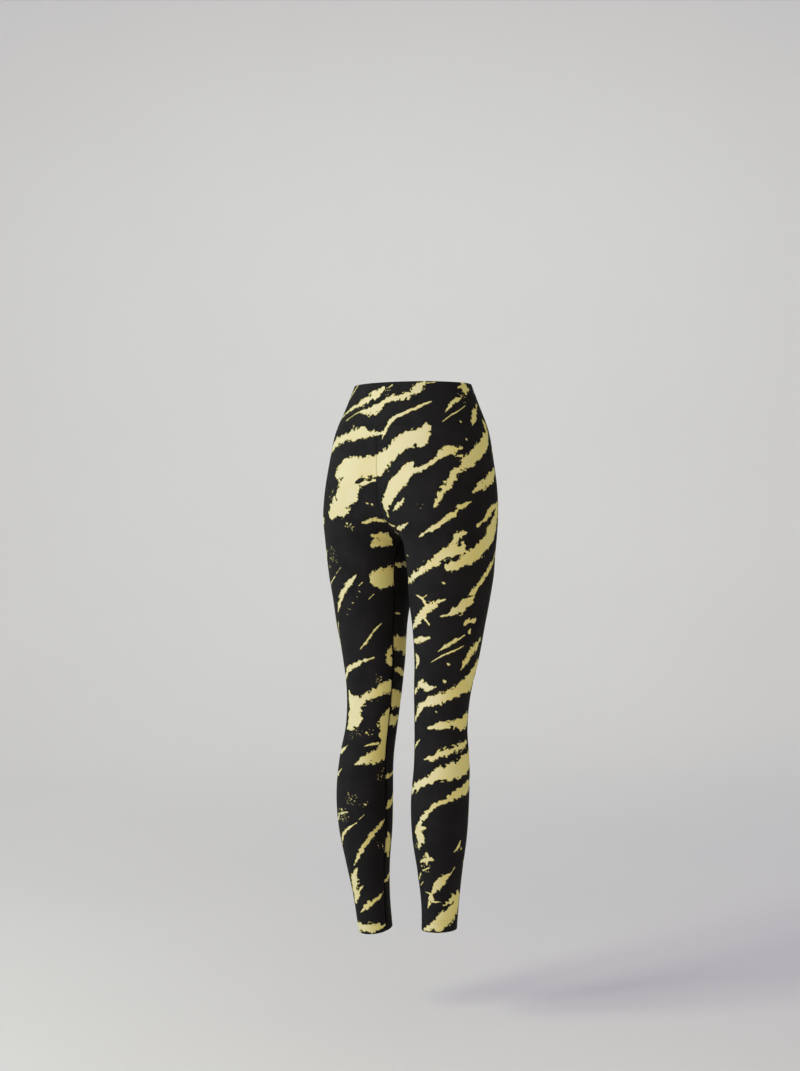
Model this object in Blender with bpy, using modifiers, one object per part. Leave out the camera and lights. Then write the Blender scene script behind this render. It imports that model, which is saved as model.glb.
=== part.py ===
"""High-waisted leggings, worn: a waistband and two wrap-around legs, each a hollow wall of knit cloth.

Metres, +Z up. The origin is the centre of the waist opening, level with its top edge. The front faces -Y and
the wearer's left is +X. The legs meet at the rise seam, in the plane x = 0, and each closes on its inseam.
"""

import math
from collections import namedtuple
from functools import lru_cache

import bmesh
import bpy
import numpy as np

# Cloth
WALL = 0.0012  # one layer of the knit
BAND_WALL = 0.0024  # the waistband is two layers
SEAM_GAP = 0.0003  # between two pieces that are sewn together

# Waistband
BAND_BACK = 0.077  # height at the back and the sides
BAND_FRONT = 0.105  # height at the centre front, where its lower seam dips

# Hems: the height of the edge, how far its front rises over its back, and the turned-up layer
HEM_Z = {"left": -0.982, "right": -0.966}
HEM_RISE = {"left": 0.010, "right": 0.0}
HEM_TURN = 0.022

# Crotch
CROTCH_Z = -0.274
BRIDGE = 0.009  # half-width of the cloth that bridges the two halves, where they would meet in a crease

# Worn form of the left half. Each section has an outermost, rearmost, innermost and foremost point, joined by
# four quarter ellipses. Above the crotch the inner quarters reach x = 0 and stop there.
Section = namedtuple("Section", "z x_out y_out x_back y_back x_in y_in x_front y_front")
SEAT = [
    #        z       x_out   y_out   x_back  y_back  x_in    y_in    x_front y_front
    Section(+0.000, +0.112, -0.006, +0.000, +0.084, -0.112, -0.006, +0.000, -0.096),  # waist edge
    Section(-0.040, +0.130, -0.006, +0.000, +0.095, -0.130, -0.006, +0.000, -0.100),
    Section(-0.080, +0.148, -0.006, +0.020, +0.103, -0.120, -0.004, +0.005, -0.102),  # band seam
    Section(-0.140, +0.160, -0.008, +0.045, +0.109, -0.100, +0.000, +0.010, -0.103),
    Section(-0.200, +0.168, -0.010, +0.066, +0.111, -0.085, +0.006, +0.010, -0.102),  # fullest seat
    Section(-0.240, +0.170, -0.008, +0.076, +0.107, -0.030, +0.010, +0.014, -0.098),
    Section(CROTCH_Z, 0.169, -0.004, +0.081, +0.096, BRIDGE, +0.010, +0.036, -0.092),
    Section(-0.305, +0.166, +0.000, +0.084, +0.089, +0.014, +0.008, +0.060, -0.087),
    Section(-0.340, +0.162, +0.000, +0.086, +0.084, +0.017, +0.006, +0.077, -0.082),
    Section(-0.380, +0.154, +0.000, +0.084, +0.080, +0.018, +0.004, +0.083, -0.077),
]
# Below the seat each leg is an ellipse.
Round = namedtuple("Round", "z x y half_width half_depth")
LEG = [
    #      z       x       y       half_width  half_depth
    Round(-0.430, 0.0843, +0.003, 0.0617, 0.069),  # thigh
    Round(-0.490, 0.0798, +0.003, 0.0552, 0.060),
    Round(-0.550, 0.0750, +0.009, 0.0495, 0.051),
    Round(-0.610, 0.0760, +0.015, 0.0460, 0.048),  # knee
    Round(-0.670, 0.0823, +0.022, 0.0477, 0.051),
    Round(-0.740, 0.0825, +0.028, 0.0495, 0.054),  # calf
    Round(-0.800, 0.0810, +0.027, 0.0465, 0.051),
    Round(-0.860, 0.0790, +0.023, 0.0380, 0.043),
    Round(-0.920, 0.0753, +0.017, 0.0318, 0.036),
    Round(-0.985, 0.0695, +0.012, 0.0285, 0.035),  # ankle
]

# Mesh
COLUMNS = 26  # round one half, from its front edge to its back edge
ARC_STEPS = 48  # in one quarter ellipse
BAND_ROWS = 3
ROWS_ABOVE_CROTCH = 6
ROWS_BELOW_CROTCH = 4
LEG_ROWS = 20
SEAM_ROW = 0.003  # a row this near the band seam on each side, so the two rims lie parallel
BELOW_BAND_Z = -0.140  # where the rows are level again
NEAR_CROTCH_Z = -0.240
UNDER_CROTCH_Z = -0.304
ABOVE_HEM_Z = -0.925
WELD = 1e-6  # vertices nearer than this are one
HALF_SPACE = (0.5, 0.6, 1.4)  # a box that holds all of one side
HALF_SPACE_TOP = 0.2

# Finish
CHARCOAL = (0.021, 0.021, 0.024, 1.0)
KNIT_ROUGHNESS = 0.85


def sections():
    """Every section from the waist to the ankle, in the long form."""
    rings = [
        Section(
            r.z,
            r.x + r.half_width,
            r.y,
            r.x,
            r.y + r.half_depth,
            r.x - r.half_width,
            r.y,
            r.x,
            r.y - r.half_depth,
        )
        for r in LEG
    ]
    return np.array(SEAT + rings)


FORM = sections()
SLOPES = np.gradient(FORM[:, 1:], FORM[:, 0], axis=0)


def section_at(z):
    """The section at any height, by a smooth cubic through the table's own."""
    heights = FORM[:, 0]
    i = int(np.clip(np.searchsorted(-heights, -z) - 1, 0, len(heights) - 2))
    step = heights[i + 1] - heights[i]
    t = (z - heights[i]) / step
    start = (2 * t**3 - 3 * t**2 + 1) * FORM[i, 1:] + (t**3 - 2 * t**2 + t) * step * SLOPES[i]
    end = (3 * t**2 - 2 * t**3) * FORM[i + 1, 1:] + (t**3 - t**2) * step * SLOPES[i + 1]
    return Section(z, *(start + end))


def quarter(centre, across, along):
    """A quarter ellipse about centre, from centre + across to just before centre + along."""
    turn = np.linspace(0, math.pi / 2, ARC_STEPS, endpoint=False)[:, None]
    return centre + np.cos(turn) * across + np.sin(turn) * along


def closed_outline(s):
    """The four quarters of a section, from its innermost point by the front, the outside and the back."""
    return np.vstack(
        [
            quarter((s.x_front, s.y_in), (s.x_in - s.x_front, 0), (0, s.y_front - s.y_in)),
            quarter((s.x_front, s.y_out), (0, s.y_front - s.y_out), (s.x_out - s.x_front, 0)),
            quarter((s.x_back, s.y_out), (s.x_out - s.x_back, 0), (0, s.y_back - s.y_out)),
            quarter((s.x_back, s.y_in), (0, s.y_back - s.y_in), (s.x_in - s.x_back, 0)),
        ]
    )


def cut_at_bridge(outline):
    """The stretch of an outline outside x = BRIDGE, with its two cut points."""
    outside = outline[:, 0] > BRIDGE + 1e-9
    first = int(np.flatnonzero(outside & ~np.roll(outside, 1))[0])
    outline = np.roll(outline, -first, axis=0)
    count = int(outside.sum())

    def cut(inner, outer):
        t = (BRIDGE - inner[0]) / (outer[0] - inner[0])
        return inner + t * (outer - inner)

    front = cut(outline[-1], outline[0])
    back = cut(outline[count], outline[count - 1])
    return np.vstack([front, outline[:count], back])


@lru_cache(maxsize=None)
def half_outline(z):
    """The left half's outline at z, from its front edge round the outside to its back edge."""
    outline = closed_outline(section_at(z))
    if z < CROTCH_Z:
        outline = np.vstack([outline, outline[:1]])
    else:
        outline = cut_at_bridge(outline)
    # The bridge draws x = BRIDGE in to the centre plane, so the two halves meet in a round saddle.
    across = np.sqrt(np.maximum(outline[:, 0] ** 2 - BRIDGE**2, 0))
    return np.column_stack([across, outline[:, 1]])


@lru_cache(maxsize=None)
def measured_outline(z):
    """The outline at z with each point's share of the way round: 0 front edge, 0.5 side, 1 back edge."""
    outline = half_outline(z)
    steps = np.linalg.norm(np.diff(outline, axis=0), axis=1)
    run = np.concatenate([[0], np.cumsum(steps)])
    side = int(outline[:, 0].argmax())
    front_half = 0.5 * run / run[side]
    back_half = 0.5 + 0.5 * (run - run[side]) / (run[-1] - run[side])
    return outline, np.where(run <= run[side], front_half, back_half)


def skin(z, share):
    """The point of the cloth's outer face at height z and that share of the way round the left half."""
    outline, shares = measured_outline(z)
    x = np.interp(share, shares, outline[:, 0])
    y = np.interp(share, shares, outline[:, 1])
    return (float(x), float(y), z)


def band_seam_z(share):
    """The waistband's lower seam: level at the back, and dipping in a soft curve from the side to the front."""
    dip = 0.5 + 0.5 * math.cos(2 * math.pi * min(share, 0.5))
    return -(BAND_BACK + (BAND_FRONT - BAND_BACK) * dip)


def hem_z(side, share):
    """The hem's edge. A quarter of the way round is the front of the leg, three quarters its back."""
    return HEM_Z[side] + 0.5 * HEM_RISE[side] * math.sin(2 * math.pi * share)


def spread(start, end, count, power=1.0):
    """count heights after start, ending at end. A power over 1 crowds them at start."""
    return [start + (end - start) * (k / count) ** power for k in range(1, count + 1)]


def crotch_heights(share):
    """The rows past the crotch: crowded there at the rise seam and the inseam, and even at the side."""
    above = spread(CROTCH_Z, NEAR_CROTCH_Z, ROWS_ABOVE_CROTCH, power=2)[-2::-1]
    below = spread(CROTCH_Z, UNDER_CROTCH_Z, ROWS_BELOW_CROTCH, power=2)
    crowded = np.array(above + [CROTCH_Z] + below)
    even = np.array(spread(NEAR_CROTCH_Z, UNDER_CROTCH_Z, len(crowded)))
    nearness = abs(2 * share - 1)
    return list(nearness * crowded + (1 - nearness) * even)


def leg_heights(side, share):
    """The heights of a leg's rows where share of the way round it, from the band seam to the hem."""
    top = band_seam_z(share) - SEAM_GAP
    hem = hem_z(side, share)
    return (
        [top, top - SEAM_ROW]
        + spread(top - SEAM_ROW, BELOW_BAND_Z, 2)
        + spread(BELOW_BAND_Z, NEAR_CROTCH_Z, 4)
        + crotch_heights(share)
        + spread(UNDER_CROTCH_Z, ABOVE_HEM_Z, LEG_ROWS)
        + [hem + HEM_TURN, hem]
    )


def band_heights(share):
    """The heights of the waistband's rows, from the top edge to its seam."""
    seam = band_seam_z(share)
    return [0.0] + spread(0.0, seam + SEAM_ROW, BAND_ROWS) + [seam]


def half_skin(heights, mirrored):
    """A grid of points over one half. heights(share) gives the rows of a column."""
    shares = np.linspace(0, 1, COLUMNS + 1)
    columns = [[skin(z, share) for z in heights(share)] for share in shares]
    grid = np.array(columns).transpose(1, 0, 2)
    if mirrored:
        grid = grid[:, ::-1] * (-1, 1, 1)
    return grid


def add_grid(bm, grid):
    """Faces over a grid, facing out: its columns run from front to back on the left, back to front on the right."""
    verts = [[bm.verts.new(point) for point in row] for row in grid]
    for upper, lower in zip(verts, verts[1:]):
        for k in range(len(upper) - 1):
            bm.faces.new((upper[k], lower[k], lower[k + 1], upper[k + 1]))


def skin_mesh(name, left, right):
    """The two halves as one open surface, joined wherever their edges touch."""
    bm = bmesh.new()
    add_grid(bm, left)
    add_grid(bm, right)
    bmesh.ops.remove_doubles(bm, verts=bm.verts, dist=WELD)
    mesh = bpy.data.meshes.new(name)
    bm.to_mesh(mesh)
    bm.free()
    mesh.shade_smooth()
    return mesh


def knit_material(name):
    material = bpy.data.materials.new(name)
    material.use_nodes = True
    shader = material.node_tree.nodes["Principled BSDF"]
    shader.inputs["Base Color"].default_value = CHARCOAL
    shader.inputs["Roughness"].default_value = KNIT_ROUGHNESS
    shader.inputs["Metallic"].default_value = 0.0
    material.diffuse_color = CHARCOAL
    return material


def collection_named(name):
    collection = bpy.data.collections.new(name)
    bpy.context.scene.collection.children.link(collection)
    return collection


def add_piece(name, mesh, wall, collection):
    """A piece whose wall lies inside its outer face."""
    piece = bpy.data.objects.new(name, mesh)
    collection.objects.link(piece)
    mesh.materials.append(knit_material(name + "_knit"))
    solidify = piece.modifiers.new("wall", "SOLIDIFY")
    solidify.thickness = wall
    solidify.offset = -1
    solidify.use_even_offset = True
    return piece


def add_half_space(name, sign, collection):
    """A box over one side of the rise seam, less half the seam gap."""
    width, _, height = HALF_SPACE
    centre = (sign * (width + SEAM_GAP) / 2, 0, HALF_SPACE_TOP - height / 2)
    bm = bmesh.new()
    bmesh.ops.create_cube(bm, size=1.0)
    bmesh.ops.scale(bm, vec=HALF_SPACE, verts=bm.verts)
    bmesh.ops.translate(bm, vec=centre, verts=bm.verts)
    mesh = bpy.data.meshes.new(name)
    bm.to_mesh(mesh)
    bm.free()
    box = bpy.data.objects.new(name, mesh)
    collection.objects.link(box)
    box.hide_render = True
    box.display_type = "WIRE"
    return box


def build_leg(side, sign, parts, cutters):
    """One leg, cut from the skin of both at the rise seam. Its hem is two layers thick."""
    left = half_skin(lambda share: leg_heights("left", share), mirrored=False)
    right = half_skin(lambda share: leg_heights("right", share), mirrored=True)
    mesh = skin_mesh("leg_" + side, left, right)
    leg = add_piece("leg_" + side, mesh, 2 * WALL, parts)
    turned_up = leg.vertex_groups.new(name="turned_up")
    hem_rows = [v.index for v in mesh.vertices if v.co.z < ABOVE_HEM_Z - WELD]
    turned_up.add(hem_rows, 1.0, "REPLACE")
    leg.modifiers["wall"].vertex_group = turned_up.name
    leg.modifiers["wall"].thickness_vertex_group = 0.5
    half = leg.modifiers.new("rise_seam", "BOOLEAN")
    half.operation = "INTERSECT"
    half.object = add_half_space("side_" + side, sign, cutters)
    return leg


def build_waistband(parts):
    """One ring, two layers thick."""
    left = half_skin(band_heights, mirrored=False)
    right = half_skin(band_heights, mirrored=True)
    mesh = skin_mesh("waistband", left, right)
    return add_piece("waistband", mesh, BAND_WALL, parts)


def clear_scene():
    for obj in list(bpy.data.objects):
        bpy.data.objects.remove(obj)


clear_scene()
parts = collection_named("leggings")
cutters = collection_named("cutters")
build_waistband(parts)
build_leg("left", +1, parts, cutters)
build_leg("right", -1, parts, cutters)
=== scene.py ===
"""High-waisted leggings, worn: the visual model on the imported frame.

Metres, +Z up, the front faces -Y and the wearer's left is +X. Each half of the garment is described
by its height z and by the share of the way round it, from 0 at the front edge to 1 at the back. The
print and the creases are laid in flat coordinates on that half: s, the way round from the centre
back, and t, the way round from the centre front, both positive to the wearer's left.
"""

import math
from collections import namedtuple

import bpy
import numpy as np
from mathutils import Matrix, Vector


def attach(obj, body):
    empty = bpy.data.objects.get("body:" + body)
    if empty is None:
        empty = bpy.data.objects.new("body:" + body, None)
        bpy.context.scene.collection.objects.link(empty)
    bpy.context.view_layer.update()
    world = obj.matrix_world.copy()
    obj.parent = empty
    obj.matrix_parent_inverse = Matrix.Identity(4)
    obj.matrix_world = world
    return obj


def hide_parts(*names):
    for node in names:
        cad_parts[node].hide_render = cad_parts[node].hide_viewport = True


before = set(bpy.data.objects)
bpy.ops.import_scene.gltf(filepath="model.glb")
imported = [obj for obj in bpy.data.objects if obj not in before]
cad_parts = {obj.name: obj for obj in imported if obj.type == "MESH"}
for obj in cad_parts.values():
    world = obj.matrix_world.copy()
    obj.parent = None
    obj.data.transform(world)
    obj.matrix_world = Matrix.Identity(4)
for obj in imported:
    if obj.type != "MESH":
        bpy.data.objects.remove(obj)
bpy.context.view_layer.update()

CM = 0.01
MM = 0.001

# Cloth, as in the CAD
WALL = 0.0012
BAND_WALL = 0.0024
BAND_BACK = 0.077
BAND_FRONT = 0.105
HEM_Z = {"left": -0.982, "right": -0.966}
HEM_RISE = {"left": 0.010, "right": 0.0}
HEM_TURN = 0.022
CROTCH_Z = -0.274
BRIDGE = 0.009
ON_THE_LINE = 1e-9  # a point this near x = BRIDGE counts as inside it

# The CAD's pieces stand 0.3 mm apart at their seams. The cloth's overlap a little, so that no light
# shows between them.
SEAM_GAP = -0.0001

# Worn form of the left half, as in the CAD
Section = namedtuple("Section", "z x_out y_out x_back y_back x_in y_in x_front y_front")
SEAT = [
    (0.000, 0.112, -0.006, 0.000, 0.084, -0.112, -0.006, 0.000, -0.096),
    (-0.040, 0.130, -0.006, 0.000, 0.095, -0.130, -0.006, 0.000, -0.100),
    (-0.080, 0.148, -0.006, 0.020, 0.103, -0.120, -0.004, 0.005, -0.102),
    (-0.140, 0.160, -0.008, 0.045, 0.109, -0.100, 0.000, 0.010, -0.103),
    (-0.200, 0.168, -0.010, 0.066, 0.111, -0.085, 0.006, 0.010, -0.102),
    (-0.240, 0.170, -0.008, 0.076, 0.107, -0.030, 0.010, 0.014, -0.098),
    (CROTCH_Z, 0.169, -0.004, 0.081, 0.096, BRIDGE, 0.010, 0.036, -0.092),
    (-0.305, 0.166, 0.000, 0.084, 0.089, 0.014, 0.008, 0.060, -0.087),
    (-0.340, 0.162, 0.000, 0.086, 0.084, 0.017, 0.006, 0.077, -0.082),
    (-0.380, 0.154, 0.000, 0.084, 0.080, 0.018, 0.004, 0.083, -0.077),
]
# The leg's rounds: z, the middle's x and y, half the width and half the depth
LEG = [
    (-0.430, 0.0843, 0.003, 0.0617, 0.069),
    (-0.490, 0.0798, 0.003, 0.0552, 0.060),
    (-0.550, 0.0750, 0.009, 0.0495, 0.051),
    (-0.610, 0.0760, 0.015, 0.0460, 0.048),
    (-0.670, 0.0823, 0.022, 0.0477, 0.051),
    (-0.740, 0.0825, 0.028, 0.0495, 0.054),
    (-0.800, 0.0810, 0.027, 0.0465, 0.051),
    (-0.860, 0.0790, 0.023, 0.0380, 0.043),
    (-0.920, 0.0753, 0.017, 0.0318, 0.036),
    (-0.985, 0.0695, 0.012, 0.0285, 0.035),
]
ARC_STEPS = 48

# The table of outlines that the cloth is read from
TABLE_BOTTOM = -0.9895
TABLE_STEP = 0.001
TABLE_CROWD = 90  # more heights each side of the crotch, where the outline opens fast
TABLE_CROWD_REACH = 0.036
TABLE_SHARES = 361

# Where the print is flat: below this height s is measured from the side, not from the centre back
FLAT_Z = -0.200

# The inseam runs behind the innermost line by this share of the way round
INSEAM_BEHIND = [
    (-0.274, 0.000), (-0.290, 0.028), (-0.310, 0.041), (-0.450, 0.043),
    (-0.520, 0.045), (-0.600, 0.037), (-0.640, 0.031), (-0.680, 0.021),
    (-0.730, 0.011), (-0.800, 0.006), (-0.900, 0.010), (-0.990, 0.030),
]

# Mesh
COLUMNS = 178  # round one leg, besides those beside its seam
BAND_COLUMNS = 280  # round the waistband
SEAM_STEPS = (0.0, 0.0005, 0.0010, 0.0016, 0.0024, 0.0036, 0.0056)
RIM_STEPS = (0.0, 0.0005, 0.0010, 0.0017, 0.0028)
BAND_ROWS = 34
BELOW_BAND_Z = -0.140
NEAR_CROTCH_Z = -0.240
UNDER_CROTCH_Z = -0.304
ABOVE_HEM_Z = -0.925
ROWS_BELOW_BAND = 16
ROWS_TO_CROTCH = 36
ROWS_BESIDE_CROTCH = 28
ROWS_DOWN_LEG = 212
ROWS_TO_TURN_UP = 11
ROWS_IN_TURN_UP = 9
INNER_EVERY = 3  # the inside has a row for every third row outside
DOUBLED_EVERY = 2  # and for every second one where the cloth is double
FOLD_STEPS = 4  # in each quarter of a fold
RAW_EDGE_STEP = 0.0002  # the turned-up hem's raw edge slants by this much

# Seams press into the cloth, and no print reaches into them. The last field is how far the colour
# there turns to a near-black painted shade of the seam's groove.
Seam = namedtuple("Seam", "depth fade dark")
RISE_SEAM = Seam(0.0006, 0.0009, 0.22)
INSEAM = Seam(0.0018, 0.0019, 1.0)
BAND_SEAM = Seam(0.0004, 0.0011, 0.10)

CREASE_TAPER = 1.5
# Creases: their chart, their centre on it (s or t, and z) in cm, angle from level in degrees,
# length and width in cm, and height in mm. The sign of s or t tells the side.
Crease = namedtuple("Crease", "chart across z angle length width height")
CREASES = [
    # under the seat and at the crotch
    ("s", 5.0, -28.8, 14, 9.0, 0.9, -0.7),
    ("s", 7.5, -30.4, 20, 7.0, 0.8, 0.4),
    ("s", -5.5, -28.4, -16, 8.0, 0.9, -0.8),
    ("s", -7.0, -30.6, -24, 7.0, 0.9, 0.4),
    ("t", 4.5, -25.6, -24, 9.0, 0.9, -0.7),
    ("t", 6.5, -28.6, -16, 8.0, 0.9, 0.5),
    ("t", -4.0, -25.2, 28, 8.5, 0.9, -0.7),
    ("t", -7.0, -28.0, 18, 9.0, 0.9, 0.5),
    # waist and hips
    ("s", 11.0, -9.6, -8, 8.0, 1.0, -0.4),
    ("s", -13.5, -9.2, 7, 9.0, 1.0, -0.4),
    ("t", 8.0, -12.4, 9, 10.0, 1.1, -0.4),
    ("t", -9.0, -12.0, -7, 9.0, 1.1, -0.4),
    # behind and over the knees
    ("s", 13.5, -55.4, 8, 8.0, 0.8, -0.6),
    ("s", 15.0, -57.6, -6, 7.0, 0.8, -0.5),
    ("s", 12.6, -59.4, 10, 6.0, 0.7, 0.4),
    ("s", -15.5, -54.8, -9, 8.0, 0.8, -0.6),
    ("s", -14.0, -57.2, 5, 7.0, 0.8, -0.5),
    ("s", -16.5, -59.0, -12, 6.0, 0.7, 0.4),
    ("s", 31.0, -63.6, -10, 6.0, 0.8, -0.5),
    ("s", -30.5, -63.0, 12, 6.5, 0.8, -0.5),
    ("s", 33.0, -65.4, 6, 5.0, 0.7, -0.4),
    ("s", -33.0, -65.0, -8, 5.0, 0.7, -0.4),
    # ankles
    ("s", 17.5, -88.6, 10, 6.0, 0.7, -0.5),
    ("s", 19.5, -91.6, -8, 6.0, 0.7, -0.5),
    ("s", -17.5, -87.8, -10, 6.0, 0.7, -0.5),
    ("s", -20.0, -90.4, 9, 6.0, 0.7, -0.5),
    ("s", 29.5, -90.2, -9, 5.0, 0.7, -0.5),
    ("s", -29.0, -89.4, 9, 5.0, 0.7, -0.5),
]


def strokes_from(text):
    """Strokes, one a line, with commas between points. One that ends in a comma goes on below."""
    lines = [line.strip() for line in text.replace(",\n", ", ").splitlines()]
    lines = [line for line in lines if line and not line.startswith("#")]
    return [[tuple(map(float, point.split())) for point in line.split(",")] for line in lines]
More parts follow.
